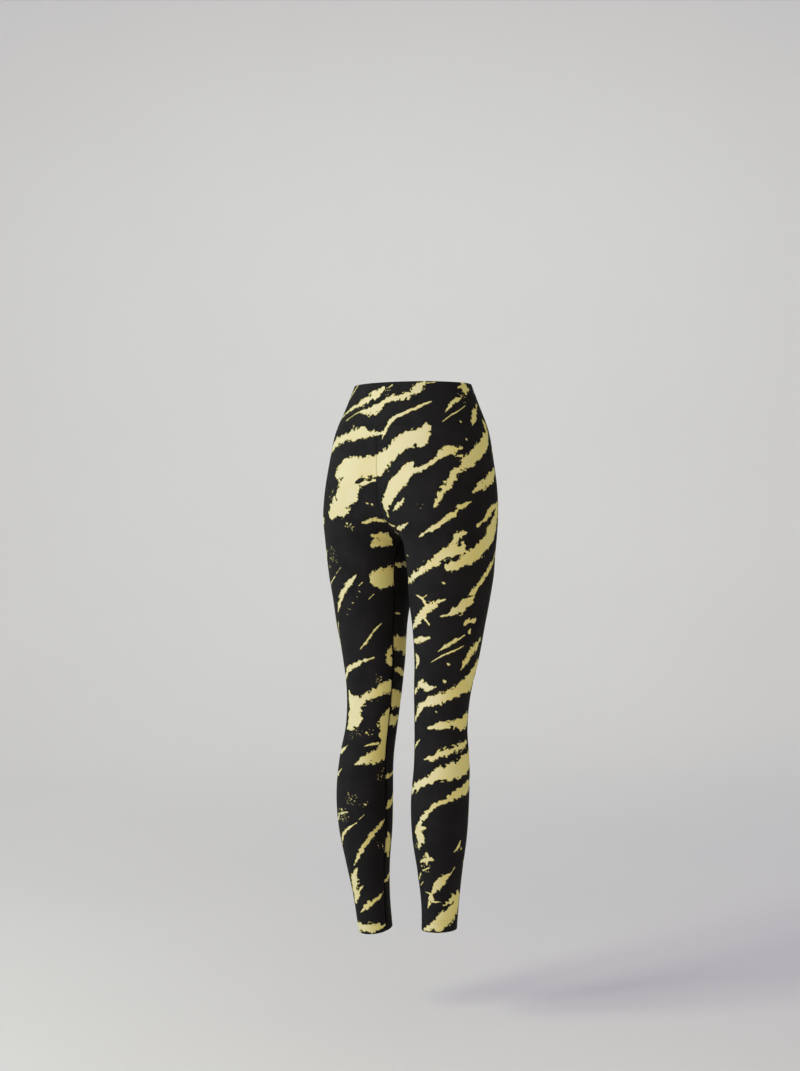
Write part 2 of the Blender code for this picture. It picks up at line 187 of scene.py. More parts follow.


# Print. A stroke's points are laid where the photo has one: s, z and the width, in cm. Its
# torn outline is the material's. The waistband and both legs share these.
BACK_STROKES = strokes_from("""
# waistband
13 -6 0.3, 7 -4.2 0.7, 3.6 -3.2 1.1, 1 -2 1.45, -0.2 -1 0.95
8.5 -6.5 0.25, 5 -5.2 0.4, 1 -4.8 1.6, -1.5 -3.2 1, -4 -2.8 1, -6 -2 1.45
-5.6 -2.2 1.35, -7 -1 1.7, -7.6 -0.3 1
-1.2 -1.1 0.15, -1.9 -0.6 0.3
7.2 0 0.25, 9.2 -1.4 0.4, 11 -2.6 0.25
-8 -0.4 0.25, -9.5 -0.2 0.25
-15 0 0.65, -15.5 -0.8 1.1, -16.2 -2.3 0.4
-14 -1.1 0.25, -15.5 -0.7 0.95, -17 -1.2 0.8
-12.3 -5.6 0.15, -12.9 -4.5 0.55, -13.8 -3.5 0.7, -15 -2.9 0.2
-12.1 -7.3 0.2, -13.3 -6.2 0.3, -14.7 -5.3 0.3, -16.1 -4.2 0.15
-18 -7.8 0.3, -18.2 -6.5 1.3, -18.8 -5 1.5, -19.5 -3.8 0.55
-21 -6.6 0.4, -22.2 -8.2 1.2, -22.6 -9.2 0.5
# below the band
-1.2 -10.2 0.2, -1.8 -8.6 0.65, -3 -6.8 0.65, -5.2 -5.7 0.45, -7.2 -4.7 0.5, -9.5 -3.7 0.3
14.5 -12.6 0.7, 12.3 -10.8 1.5, 7 -9.6 1.7, 3 -9 1.95, 0.7 -9.2 0.9, -1.6 -9.2 0.7
# seat
-0.5 -15.2 3.8, -2.8 -13 2.75, -5.5 -10.9 2.9, -8 -9.8 2.75, -10 -8.3 1.4
-8.6 -11.3 1.9, -9.5 -10.2 1.5, -10.4 -9.4 0.5
8.9 -16.6 0.4, 7.8 -15.3 1.2, 7.1 -13.9 1
10 -22.9 1.2, 7.1 -23 1.2, 5.4 -22.1 0.6
9 -16.2 1.75, 6.5 -15.1 3.3, 3.5 -15 3.8, 1 -15 3.6, -1 -14.8 3.3
5 -16 3.35, 5.5 -18.2 4.45, 7 -20.5 4.1, 9 -22.4 2.8, 10.5 -23.6 1.3
3.6 -17.9 0.85, 1.8 -17.7 0.5, 0.2 -17.3 0.3
-1.6 -23.8 0.4, -1.8 -21.8 1.55, -3.5 -19.3 2.4, -5.4 -17.4 2.8, -6.8 -15.8 2.35, -7.7 -14.4 0.85
-7.5 -15.9 1.05, -10.2 -15 0.7, -12 -13.7 0.8, -13.3 -12.4 1.7, -15 -12.1 1.05, -16.3 -11.8 0.55
-3.4 -22.7 0.2, -5.2 -21.5 0.85, -6.2 -20.6 0.35
-11.7 -22.2 0.3, -12.6 -20.8 1, -14.2 -18.4 1.4, -15.5 -16.2 1.15, -17.5 -14.5 1.95, -20 -12.3 2.4,
    -21.7 -10.5 2.65, -22.6 -9 1.25
-15 -13.4 0.15, -16.5 -13.1 0.3
-19 -19.5 0.5, -20.7 -18.4 1.1, -22.5 -17.7 1.6, -24.1 -16.6 1.85, -25.2 -15.2 0.7
-9.7 -27.2 0.35, -11 -26.3 0.65, -13 -24.9 0.9, -14.8 -23.5 1, -16.2 -22.3 0.9, -18.7 -21.1 0.15
-20 -25.4 0.45, -21.6 -24.2 0.85, -23.5 -22.7 1, -26.3 -21 0.5
4.1 -24.8 0.2, 2.6 -24.5 0.7, 1 -24.3 0.7, -0.1 -24.5 0.35
3.8 -27 0.5, 2.3 -27.2 1.2, 0.8 -27.6 2.05
4.8 -29 0.65, 2.9 -28.2 1.35, 0.8 -27.8 1.75
-0.5 -24.9 0.3, -2 -25.4 0.45, -2.9 -25.3 0.2
-3.2 -25.9 0.3, -4.5 -25.8 0.75, -5.9 -25.3 0.6, -7 -24.8 0.2
# right thigh
-16.1 -28.2 0.8, -16.8 -26.9 1.05, -18.2 -26.5 0.2
-6.5 -35.2 1, -8.5 -34.4 1.35, -10.6 -33.4 1.45, -12.9 -31.9 1.6, -14.5 -30.3 2.05,
    -16.2 -29.5 2.45, -18 -29.7 1.85
-15.5 -32.4 1.1, -17.4 -32 1.6, -19.4 -30.8 2.3, -21.7 -29.3 2.55, -23.3 -27.5 2.55,
    -24.7 -24.9 2.4, -26.2 -22 1.1
-28.2 -29 0.55, -25.6 -32 0.95, -23.2 -34.4 0.95, -21.6 -36.5 1, -20.4 -38.4 2.2, -19.1 -39.8 1.6,
    -17.6 -40.6 0.7, -15.9 -41 0.25
-9.5 -43.2 0.95, -12.3 -41 1.7, -13.5 -39.6 1.6, -14.6 -38.7 1.2, -16.4 -38 0.15
-10.2 -37.3 0.15, -11.9 -38 0.5, -13.2 -39.3 0.8
-13 -41.3 0.55, -14.4 -42.6 0.15
-12.8 -37.3 0.15, -11.8 -38 0.3
# right knee
-10 -45.6 0.65, -12.8 -45.2 0.8, -14.8 -44.8 0.4
-20.6 -42.6 0.45, -21.5 -42 1.2, -23 -41.8 0.7
-22.1 -43.2 0.35, -21.9 -44 0.6
-21.1 -44.3 0.25, -20.7 -44.6 0.35, -20.1 -44.9 0.3
-16.7 -47.2 0.15, -18 -46.1 0.55, -19.1 -45.4 0.8, -20.6 -44.8 0.15
-15.8 -49.1 0.2, -17.6 -47.9 0.3, -19.8 -46.9 0.3, -21.2 -46.2 0.15
-21.5 -50.5 0.2, -22.4 -48.8 1.35, -23.4 -47.2 1.4, -25.6 -45 0.7
-12 -50.4 0.4, -12.3 -48.9 1.05, -11.5 -47.8 0.6
-13.6 -59.6 0.7, -14.9 -57.4 1.35, -16.9 -56 1.7, -19.7 -55.1 1.8, -22.2 -54 2.2, -24.7 -52.5 3.25,
    -25.9 -50.4 2.4, -27.2 -48.6 0.7
-12.6 -54.6 0.8, -14.8 -53.2 1.1, -16.4 -53.6 0.95, -17.8 -53.4 0.3
-14 -53.2 0.8, -14.9 -52.3 0.6
-17.2 -60.6 0.45, -19.2 -60.2 1.1, -21.7 -60 1.35, -23.9 -59.9 2.15, -25.8 -58.8 2
# right calf
-12.9 -64.4 0.5, -14.3 -63.4 0.4, -15.3 -62.7 0.15
-16.1 -66 0.25, -18 -65.5 0.9, -20.1 -64.7 1.2, -22.4 -64.1 1.3, -25.4 -63.3 0.8
-12.2 -71.8 1.3, -15.2 -70.2 1.3, -17.3 -69.2 1.5, -19.4 -68.4 2.35, -21.9 -67.7 3, -24.6 -66.9 3.2,
    -27.2 -65.6 2.3
-27.2 -70.3 1.35, -24.2 -71.2 1.9, -21.4 -72.3 1.2, -19.5 -73.2 0.9, -18 -74.1 0.75,
    -16.4 -75.6 0.8, -15.2 -77.4 0.9
-14.6 -78 0.6, -15.6 -77.9 0.9, -16.9 -77.7 0.3
-15.2 -77.2 1.1, -15.3 -78.6 1.7, -15.7 -80 1.8, -15.5 -81.2 1.1
-16.2 -83.9 0.5, -17.5 -83.3 1.05, -18.8 -83.3 0.45
-17.3 -82.1 0.4, -17.6 -83.4 0.8, -17.7 -84.4 0.4
-17 -85.4 0.3, -18.2 -84.8 0.35
-15.8 -87.2 0.5, -16.5 -86 0.35
-16.4 -88.3 0.3, -17.2 -87.5 0.2
-22.4 -82.1 0.15, -23.3 -81.2 0.45, -23.9 -80.1 0.25
-18.7 -92.3 0.15, -19 -90.5 0.95, -19.7 -88.8 1.25, -20.8 -87.2 1.35, -21.9 -86 0.85
-22 -86.4 0.3, -23.1 -84.8 0.15
-19.3 -91 0.4, -21.1 -91 0.15
-17.9 -89.3 0.15, -19 -89.5 0.4
-18 -96.2 0.55, -20 -95.5 1.65, -21.6 -94.5 2.65, -23.3 -93.2 3, -24.5 -91.4 2.45, -24.6 -89.3 0.7
-21.4 -91.6 0.3, -22.6 -91.2 1.05, -23.8 -90.2 1.2
# left thigh
17.6 -36 0.25, 15.6 -35.1 0.3, 14.2 -34.3 0.15
13.6 -33.8 0.15, 12.3 -32.8 0.2
16.2 -40.8 0.25, 14.7 -39.1 0.75, 12.7 -37.1 0.8, 10.6 -35.2 0.6, 9.3 -34 0.15
9.4 -36 0.15, 8.5 -35.3 0.2
8.4 -38.4 0.2, 7.1 -37.4 0.2
6.6 -35.2 2.2, 5.4 -34.9 2.9, 2.8 -34.2 3.3, 0.5 -34.1 3.4
13.4 -47.4 0.15, 11.3 -45.6 0.4, 9.2 -43.7 0.35, 7.7 -42.7 0.15
17.2 -42.6 0.3, 18.4 -44.8 0.35, 19 -46.6 0.35, 19.8 -48.2 0.25
# left knee
20.6 -53 0.5, 18 -51.6 0.95, 15.6 -50.4 0.8, 13.5 -49.5 0.55, 11.3 -48.8 0.15
7.2 -46.7 0.25, 8.1 -48.2 0.95, 8.6 -50 1.45
8 -53.4 2.1, 9.5 -54 2, 11.4 -54.6 1.7, 13.5 -55.5 1.45, 15.3 -56.5 1.5, 17.2 -57.2 2.25
18.8 -54.9 0.45, 18 -56.8 2.4, 17.5 -58.5 3.2, 17.8 -60.4 3, 19.1 -61.8 1.15
10.3 -58 0.6, 11 -59.7 2.3, 11.2 -61.1 2.8, 10.6 -62.6 2.45, 10.4 -64.2 2.45
# left calf
10.4 -63.5 2, 10.4 -64.8 2.5, 11 -66.2 2.8, 12.9 -66.7 1.9, 14.2 -67.4 0.8, 15.3 -68 0.2
14.3 -64.7 0.2, 13.3 -64.4 0.4, 11.8 -64.2 0.65
20.6 -66.4 0.65, 18.9 -65.6 0.9, 17.8 -64.7 0.2
20 -70.3 0.55, 18.9 -69.5 0.55, 18.2 -68.9 0.2
19.8 -78.1 0.5, 17.9 -76.8 0.55, 16 -76.4 0.2
20 -82.8 0.25, 18.8 -81.2 0.55, 17 -79.7 0.4, 14.5 -78.2 0.15
14.1 -77.7 0.15, 13 -76.8 0.15
17.8 -86.2 0.15, 16.1 -84.2 0.45, 14.4 -82.4 0.75, 12.2 -80.4 0.8, 10.4 -79 0.7, 8.9 -77.8 0.15
17.3 -86.6 0.3, 18.6 -88.1 1.1, 19.2 -89.6 1.5, 19.8 -91.4 1.5, 20.4 -93.2 0.8
19.3 -91.5 0.4, 17.3 -89.7 0.15
19.4 -94.9 0.2, 17.9 -93.7 0.75, 16 -92.5 0.75, 14 -91.2 0.45
22 -97.8 1.3, 18.5 -97.5 1.5, 16.8 -97.3 1.3, 15.9 -96.8 0.5
15.7 -97.5 0.35, 14.6 -97 0.3
# inner side of the left leg, past the inseam
53 -32.2 0.95, 50.5 -32.2 0.95, 46 -32 0.7
47.5 -40.9 0.35, 46 -41.1 0.25
46 -46 1.85, 43 -46.3 2.3, 39.8 -47.4 2.7, 38 -48.2 1.2
42.5 -51 0.7, 40.6 -51.5 0.85, 37.6 -52.6 0.75
42.5 -55.6 2.45, 40 -56.4 2.7, 37 -57.2 1.55
41 -60.4 2.2, 38.9 -60.3 1.85, 37.2 -59.8 0.75
41.5 -70.7 0.4, 39.1 -70.1 0.75, 37.4 -69.8 0.4
41.5 -76.2 0.5, 39.7 -75.3 1.55, 38.4 -74.6 1.35, 37.4 -73.8 0.4
36.2 -85 0.5, 37.3 -83.4 1.45, 38 -82 1.6, 39.3 -80.3 0.4
36.2 -89.6 0.35, 35.1 -88.8 1, 33.9 -88.1 0.5
""")
# Dark strokes that cut into the pale ones
CUTS = strokes_from("""
4.2 -17.8 0.6, 3.3 -17.3 1, 2.4 -17.1 0.4, 0.2 -16.9 0.35
-16 -31.2 0.35, -16.9 -30.7 0.6, -17.9 -30.3 0.35
-19.5 -37.9 0.3, -20.6 -37.6 0.5, -21.8 -37.4 0.2
14.3 -65.1 0.3, 13.2 -64.7 0.45, 11.7 -64.7 0.25
-17.9 -69.9 0.3, -18.9 -69.5 0.5, -20.3 -69.4 0.3
-20.5 -66.1 0.4, -22.9 -65.3 0.6, -25.8 -64.3 0.6
8.4 -20.8 0.4, 8.8 -20.2 0.5
-4.9 -20.8 0.6, -5.4 -20 0.5, -6 -18.9 0.2
""")
# Single specks: (s, z, width) in cm
SPECKS = [
    (-15.7, -35.3, 0.45), (-19.2, -49.5, 0.40), (-19.3, -52.5, 0.50), (-18.7, -57.8, 0.30),
    (-15.6, -7.3, 0.35), (-17.2, -10.4, 0.40), (-7.0, -30.6, 0.45), (11.4, -39.1, 0.22),
    (9.5, -37.0, 0.20), (10.2, -38.0, 0.15), (12.6, -40.2, 0.20), (13.5, -41.2, 0.18),
    (9.6, -22.0, 0.80), (9.3, -20.4, 0.35), (1.0, -21.6, 0.35), (1.9, -21.4, 0.30),
]
# Spatter: (s, z, radius) in cm
SPATTER = [
    (13.8, -30.2, 1.9), (16.0, -32.4, 0.9), (6.8, -25.5, 1.1), (10.0, -19.8, 1.3),
    (16.6, -62.6, 1.3), (14.4, -62.4, 1.2), (11.6, -52.8, 1.2), (15.4, -74.2, 1.7),
    (12.8, -74.6, 1.0), (17.4, -77.0, 1.6), (9.8, -69.8, 1.2), (11.4, -82.6, 1.0),
    (-9.4, -22.0, 0.5), (-17.6, -84.6, 1.2), (-15.2, -80.8, 1.2), (-15.6, -2.6, 1.3),
    (-1.0, -2.0, 1.0), (5.7, -8.0, 0.8), (-23.6, -81.6, 0.8),
]
# The rest of the print is scattered in the same manner where the photo doesn't see it. How far the
# photo sees the left side and the right: a height, and s there, in cm
SEEN_LEFT = [
    (0, 12.5), (-12, 14.5), (-22, 12.5), (-33, 17), (-42, 18.5),
    (-52, 20.5), (-62, 20.5), (-78, 20.5), (-90, 21), (-98, 23),
]
SEEN_RIGHT = [
    (0, 18.5), (-8, 23), (-16, 26), (-25, 27.5), (-32, 28.5),
    (-45, 27.5), (-70, 28), (-80, 26), (-98, 25.5),
]
# What it sees of the left leg's inner side: a height, and from where to where in t, in cm
SEEN_INNER = [
    (-27.5, -9.0, 3.0), (-36.0, -6.0, 3.6), (-41.0, -3.5, 4.8), (-46.0, -1.0, 6.4),
    (-56.0, 3.0, 9.0), (-64.0, 4.0, 9.6), (-74.0, 3.5, 9.0), (-83.0, 6.0, 10.8),
    (-93.0, 9.0, 13.6), (-98.0, 9.5, 14.2),
]
SCATTER_SEED = 11
SCATTER_ACROSS = (-30.0, 36.0)
SCATTER_HEIGHT = (-98.5, 0.5)
SCATTER_SLANT = (18, 50)
SCATTER_POINTS = 7
SCATTER_BEND = 0.14  # at most this share of the length
SCATTER_SKEW = (0.5, 2.0)  # under 1 a stroke is thickest near its start, and over 1 near its end
SCATTER_WAVER = 0.12  # at most this share of the width
SCATTER_TIP = 0.15  # a tip's width, as a share of the stroke's
SCATTER_UNEVEN = (0.7, 1.25)
SCATTER_THINNEST = 0.25
SCATTER_FORKED = 0.45  # the share of strokes that have a branch
BRANCH_POINT = 3
BRANCH_TURN = (20, 45)
BRANCH_LENGTH = 0.45
BRANCH_WIDTH = 0.55
# How many are tried, their lengths and widths, and how far apart they stay, in cm
SCATTER_SIZES = [
    (500, (15, 24), (2.4, 3.8), 0.9),
    (600, (10, 15), (1.7, 3.0), 0.9),
    (900, (6, 10), (1.0, 2.1), 0.9),
    (900, (3, 5), (0.5, 1.1), 0.9),
    (500, (1.5, 3), (0.3, 0.5), 1.0),
]

# A speck is a short stroke: how far it goes across and up and how it narrows, in its own width
SPECK_TAIL = (1.1, 0.6, 0.5)

RAGGED = 0.42  # how far an outline is torn, as a share of half the stroke's width
RAGGED_LEAST = 0.35 * MM
RAGGED_MOST = 2.3 * MM
RAGGED_CUT = 0.7 * MM
EATEN = 0.3 * MM  # the tearing takes this much off each side of a stroke
THINNEST = 0.3 * MM  # half the width of the finest hair
TIP_SLOPE = 1.6  # how fast a stroke narrows past its last point
STROKE_REACH = 12 * MM  # a place this near a stroke carries its depth in it
RIDGE_REACH = 6 * MM  # a face this near a stroke carries its place across it
FAR_OUTSIDE = -8.0
PATH_SAMPLES = 36
LAID_SAMPLES, SCATTER_SAMPLES = 12, 18  # where strokes only have to keep clear of each other
LEAST_WIDTH = 0.05  # in cm


def hermite(start, end, start_slope, end_slope, step, t):
    """A smooth cubic between two rows of values."""
    return (
        (2 * t**3 - 3 * t**2 + 1) * start
        + (t**3 - 2 * t**2 + t) * step * start_slope
        + (3 * t**2 - 2 * t**3) * end
        + (t**3 - t**2) * step * end_slope
    )


# Every section from the waist to the ankle, in the long form
ROUNDS = [
    (z, x + width, y, x, y + depth, x - width, y, x, y - depth) for z, x, y, width, depth in LEG
]
FORM = np.array(SEAT + ROUNDS)
SLOPES = np.gradient(FORM[:, 1:], FORM[:, 0], axis=0)


def section_at(z):
    """The section at any height, by a smooth cubic through the table's own."""
    heights = FORM[:, 0]
    i = int(np.clip(np.searchsorted(-heights, -z) - 1, 0, len(heights) - 2))
    step = heights[i + 1] - heights[i]
    t = (z - heights[i]) / step
    return Section(z, *hermite(FORM[i, 1:], FORM[i + 1, 1:], SLOPES[i], SLOPES[i + 1], step, t))


def at_height(z, table):
    """A table's columns at z. Each of its rows starts with a height, from the top down."""
    heights, *columns = np.array(table).T
    return [np.interp(-z, -heights, column) for column in columns]


def quarter(centre, across, along):
    """A quarter ellipse about centre, from centre + across to just before centre + along."""
    turn = np.linspace(0, math.pi / 2, ARC_STEPS, endpoint=False)[:, None]
    return centre + np.cos(turn) * across + np.sin(turn) * along


def closed_outline(s):
    """A section's quarters, from its innermost point by the front, the outside and the back."""
    return np.vstack(
        [
            quarter((s.x_front, s.y_in), (s.x_in - s.x_front, 0), (0, s.y_front - s.y_in)),
            quarter((s.x_front, s.y_out), (0, s.y_front - s.y_out), (s.x_out - s.x_front, 0)),
            quarter((s.x_back, s.y_out), (s.x_out - s.x_back, 0), (0, s.y_back - s.y_out)),
            quarter((s.x_back, s.y_in), (0, s.y_back - s.y_in), (s.x_in - s.x_back, 0)),
        ]
    )


def cut_at_bridge(outline):
    """The stretch of an outline outside x = BRIDGE, with its two cut points."""
    outside = outline[:, 0] > BRIDGE + ON_THE_LINE
    first = int(np.flatnonzero(outside & ~np.roll(outside, 1))[0])
    outline = np.roll(outline, -first, axis=0)
    count = int(outside.sum())

    def cut(inner, outer):
        t = (BRIDGE - inner[0]) / (outer[0] - inner[0])
        return inner + t * (outer - inner)

    front = cut(outline[-1], outline[0])
    back = cut(outline[count], outline[count - 1])
    return np.vstack([front, outline[:count], back])


def half_outline(z):
    """The left half's outline at z, from its front edge round the outside to its back edge."""
    outline = closed_outline(section_at(z))
    if z < CROTCH_Z:
        outline = np.vstack([outline, outline[:1]])
    else:
        outline = cut_at_bridge(outline)
    across = np.sqrt(np.maximum(outline[:, 0] ** 2 - BRIDGE**2, 0))
    return np.column_stack([across, outline[:, 1]])


def measured_outline(z):
    """The outline at z, its points' shares of the way round, and the ways to and from the side."""
    outline = half_outline(z)
    steps = np.linalg.norm(np.diff(outline, axis=0), axis=1)
    run = np.concatenate([[0], np.cumsum(steps)])
    side = int(outline[:, 0].argmax())
    front_way, back_way = run[side], run[-1] - run[side]
    behind = 0.5 + 0.5 * (run - front_way) / back_way
    share = np.where(run <= front_way, 0.5 * run / front_way, behind)
    return outline, share, front_way, back_way


class Form:
    """The worn form of the left half, read from a close table of its outlines."""

    def __init__(self):
        even = np.arange(0.0, TABLE_BOTTOM, -TABLE_STEP)
        crowd = TABLE_CROWD_REACH * np.linspace(0, 1, TABLE_CROWD) ** 2
        self.heights = np.unique(np.concatenate([even, CROTCH_Z + crowd, CROTCH_Z - crowd]))
        shares = np.linspace(0, 1, TABLE_SHARES)
        rows, ways = [], []
        for z in self.heights:
            outline, share, front_way, back_way = measured_outline(float(z))
            rows.append([np.interp(shares, share, outline[:, axis]) for axis in (0, 1)])
            ways.append((front_way, back_way))
        self.table = np.array(rows)
        self.front_ways, self.back_ways = np.array(ways).T

    def point(self, z, share):
        """The point of the cloth's outer face at each height and share."""
        z, share = np.broadcast_arrays(z, share)
        i = np.clip(np.searchsorted(self.heights, z) - 1, 0, len(self.heights) - 2)
        down = ((z - self.heights[i]) / (self.heights[i + 1] - self.heights[i]))[..., None]
        place = np.clip(share, 0, 1) * (TABLE_SHARES - 1)
        k = np.minimum(place.astype(int), TABLE_SHARES - 2)
        along = (place - k)[..., None]
        low = self.table[i, :, k] * (1 - along) + self.table[i, :, k + 1] * along
        high = self.table[i + 1, :, k] * (1 - along) + self.table[i + 1, :, k + 1] * along
        across = low * (1 - down) + high * down
        return np.concatenate([across, z[..., None]], axis=-1)

    def front_way(self, z):
        return np.interp(z, self.heights, self.front_ways)

    def back_way(self, z):
        return np.interp(z, self.heights, self.back_ways)

    def flat(self, z, share, turns=0):
        """s and t on the left half. turns is -1 where the cloth has passed the innermost line."""
        front_way, back_way = self.front_way(z), self.back_way(z)
        run = np.where(share <= 0.5, 2 * share * front_way, front_way + (2 * share - 1) * back_way)
        run = run + turns * (front_way + back_way)
        low = z < FLAT_Z
        side = np.where(low, self.back_way(FLAT_Z), back_way)
        centre_front = np.where(low, self.front_way(FLAT_Z), front_way)
        return side + front_way - run, centre_front - front_way + run


form = Form()


def band_seam_z(share):
    """The waistband's lower seam: level at the back, and dipping from the side to the front."""
    dip = 0.5 + 0.5 * np.cos(2 * math.pi * np.minimum(share, 0.5))
    return -(BAND_BACK + (BAND_FRONT - BAND_BACK) * dip)


def hem_z(side, share):
    """The hem's edge. A quarter of the way round is the leg's front, three quarters its back."""
    return HEM_Z[side] + 0.5 * HEM_RISE[side] * np.sin(2 * math.pi * share)


def spread(start, end, count, power=1.0):
    """count heights after start, ending at end. A power over 1 crowds them at start."""
    return [start + (end - start) * (k / count) ** power for k in range(1, count + 1)]


def crotch_heights(share):
    """The rows past the crotch: crowded there at the rise seam and the inseam, even at the side."""
    above = spread(CROTCH_Z, NEAR_CROTCH_Z, ROWS_BESIDE_CROTCH, power=2)[-2::-1]
    below = spread(CROTCH_Z, UNDER_CROTCH_Z, ROWS_BESIDE_CROTCH, power=2)
    crowded = above + [CROTCH_Z] + below
    even = spread(NEAR_CROTCH_Z, UNDER_CROTCH_Z, len(crowded))
    from_side = abs(2 * share - 1)
    return [from_side * c + (1 - from_side) * e for c, e in zip(crowded, even)]


def leg_heights(side, share):
    """The heights of a leg's rows at each share, from the band seam to where the hem folds."""
    top = band_seam_z(share) - SEAM_GAP
    hem = hem_z(side, share)
    start = top - RIM_STEPS[-1]
    return np.array(
        [top - step for step in RIM_STEPS]
        + spread(start, BELOW_BAND_Z, ROWS_BELOW_BAND)
        + [np.full_like(share, z) for z in spread(BELOW_BAND_Z, NEAR_CROTCH_Z, ROWS_TO_CROTCH)]
        + crotch_heights(share)
        + [np.full_like(share, z) for z in spread(UNDER_CROTCH_Z, ABOVE_HEM_Z, ROWS_DOWN_LEG)]
        + spread(ABOVE_HEM_Z, hem + HEM_TURN, ROWS_TO_TURN_UP)
        + spread(hem + HEM_TURN, hem + WALL, ROWS_IN_TURN_UP)
    )


CROTCH_ROW = len(RIM_STEPS) + ROWS_BELOW_BAND + ROWS_TO_CROTCH + ROWS_BESIDE_CROTCH - 1


def smooth_path(points, count):
    """Points along a smooth curve through a few, each with its width."""
    points = np.array(points, float)
    steps = np.linalg.norm(np.diff(points[:, :2], axis=0), axis=1)
    run = np.concatenate([[0], np.cumsum(steps)])
    slopes = np.gradient(points, run, axis=0)
    at = np.linspace(0, run[-1], count)
    i = np.clip(np.searchsorted(run, at) - 1, 0, len(run) - 2)
    step = (run[i + 1] - run[i])[:, None]
    t = (at[:, None] - run[i][:, None]) / step
    path = hermite(points[i], points[i + 1], slopes[i], slopes[i + 1], step, t)
    path[:, 2] = np.maximum(path[:, 2], LEAST_WIDTH)
    return path


class Stroke:
    """A stroke in metres: a path's points and, at each, the way it runs, half its width and how
    fast that grows."""

    def __init__(self, points):
        path = smooth_path(points, PATH_SAMPLES) * CM
        along = np.gradient(path[:, :2], axis=0)
        step = np.linalg.norm(along, axis=1)
        self.path = path[:, :2]
        self.half = np.maximum(0.5 * path[:, 2] - EATEN, THINNEST)
        self.along = along / step[:, None]
        self.growth = np.gradient(self.half) / step

    def near(self, across, z, reach):
        reach = reach + self.half.max()
        low, high = self.path.min(axis=0) - reach, self.path.max(axis=0) + reach
        return (across > low[0]) & (across < high[0]) & (z > low[1]) & (z < high[1])

    def nearest(self, across, z):
        """Which of the path's points is nearest."""
        dx, dz = across[:, None] - self.path[:, 0], z[:, None] - self.path[:, 1]
        return np.hypot(dx, dz).argmin(axis=1)

    def measure(self, across, z, place):
        """The way across from the middle, and half the width, for points nearest to place."""
        dx, dz = across - self.path[place, 0], z - self.path[place, 1]
        forward = dx * self.along[place, 0] + dz * self.along[place, 1]
        way = dz * self.along[place, 0] - dx * self.along[place, 1]
        beyond = np.where(place == 0, -forward, np.where(place == PATH_SAMPLES - 1, forward, 0))
        growth = np.where(beyond > 0, -TIP_SLOPE * beyond, self.growth[place] * forward)
        return way, self.half[place] + growth


def stroke_field(across, z, strokes):
    """How deep each point lies in the strokes, in units of how far their outline is torn there."""
    field = np.full(across.shape, FAR_OUTSIDE)
    for stroke in strokes:
        near = stroke.near(across, z, STROKE_REACH)
        way, half = stroke.measure(across[near], z[near], stroke.nearest(across[near], z[near]))
        torn = np.clip(RAGGED * half, RAGGED_LEAST, RAGGED_MOST)
        field[near] = np.maximum(field[near], (half - abs(way)) / torn)
    return field


def ridge_field(charts, z):
    """For the corners of each face, the way across the stroke that the face lies deepest in, and
    half its width there. Both change evenly over a face, so strokes much thinner than a face stay
    whole. Each chart is the corners' coordinate across, and its strokes."""
    way = np.full(z.shape, RIDGE_REACH)
    half = np.zeros(z.shape)
    deepest = np.full(z.shape[:-1], -RIDGE_REACH)
    height = z.mean(axis=-1)
    for across, strokes in charts:
        middle = across.mean(axis=-1)
        for stroke in strokes:
            near = np.nonzero(stroke.near(middle, height, RIDGE_REACH))
            place = stroke.nearest(middle[near], height[near])
            middle_way, middle_half = stroke.measure(middle[near], height[near], place)
            depth = middle_half - abs(middle_way)
            deeper = depth > deepest[near]
            near = tuple(axis[deeper] for axis in near)
            deepest[near] = depth[deeper]
            way[near], half[near] = stroke.measure(across[near], z[near], place[deeper][:, None])
    return way, half


def way_round(z):
    """Half the way round the garment at heights in cm, as the print is laid there."""
    z = np.maximum(z * CM, FLAT_Z)
    return (form.front_way(z) + form.back_way(z)) / CM


def is_hidden(path):
    """Whether the photo sees nothing of a path of (t, z, width) in cm."""
    t, z = path[:, 0], path[:, 1]
    (left,), (right,), (first, last) = (
        at_height(z, seen) for seen in (SEEN_LEFT, SEEN_RIGHT, SEEN_INNER)
    )
    behind = way_round(z) - abs(t) > np.where(t < 0, right, left)
    on_inner_side = (t > first) & (t < last) & (z < SEEN_INNER[0][0])
    return bool((behind & ~on_inner_side).all())


def scattered_stroke(rng, start, slant, length, width):
    """A wavering stroke from start, thickest anywhere along it, as (t, z, width) in cm."""
    bend = rng.uniform(-SCATTER_BEND, SCATTER_BEND) * length
    skew = rng.uniform(*SCATTER_SKEW)
    points = []
    for k in np.linspace(0, 1, SCATTER_POINTS):
        aside = 4 * bend * k * (1 - k) + rng.uniform(-SCATTER_WAVER, SCATTER_WAVER) * width
        across = start[0] + k * length * math.cos(slant) - aside * math.sin(slant)
        height = start[1] + k * length * math.sin(slant) + aside * math.cos(slant)
        swell = SCATTER_TIP + (1 - SCATTER_TIP) * math.sin(math.pi * k**skew)
        swell *= rng.uniform(*SCATTER_UNEVEN)
        points.append((across, height, max(SCATTER_THINNEST, width * swell)))
    return points


def scattered_fork(rng, length, width):
    """A stroke that rises to the wearer's left, and now and then a branch from its middle."""
    slant = math.radians(rng.uniform(*SCATTER_SLANT))
    across = rng.uniform(*SCATTER_ACROSS) - 0.5 * length * math.cos(slant)
    height = rng.uniform(*SCATTER_HEIGHT) - 0.5 * length * math.sin(slant)
    fork = [scattered_stroke(rng, (across, height), slant, length, width)]
    if rng.random() < SCATTER_FORKED:
        turn = rng.choice((-1, 1)) * math.radians(rng.uniform(*BRANCH_TURN))
        at = fork[0][BRANCH_POINT][:2]
        length, width = BRANCH_LENGTH * length, BRANCH_WIDTH * width
        fork.append(scattered_stroke(rng, at, slant + turn, length, width))
    return fork


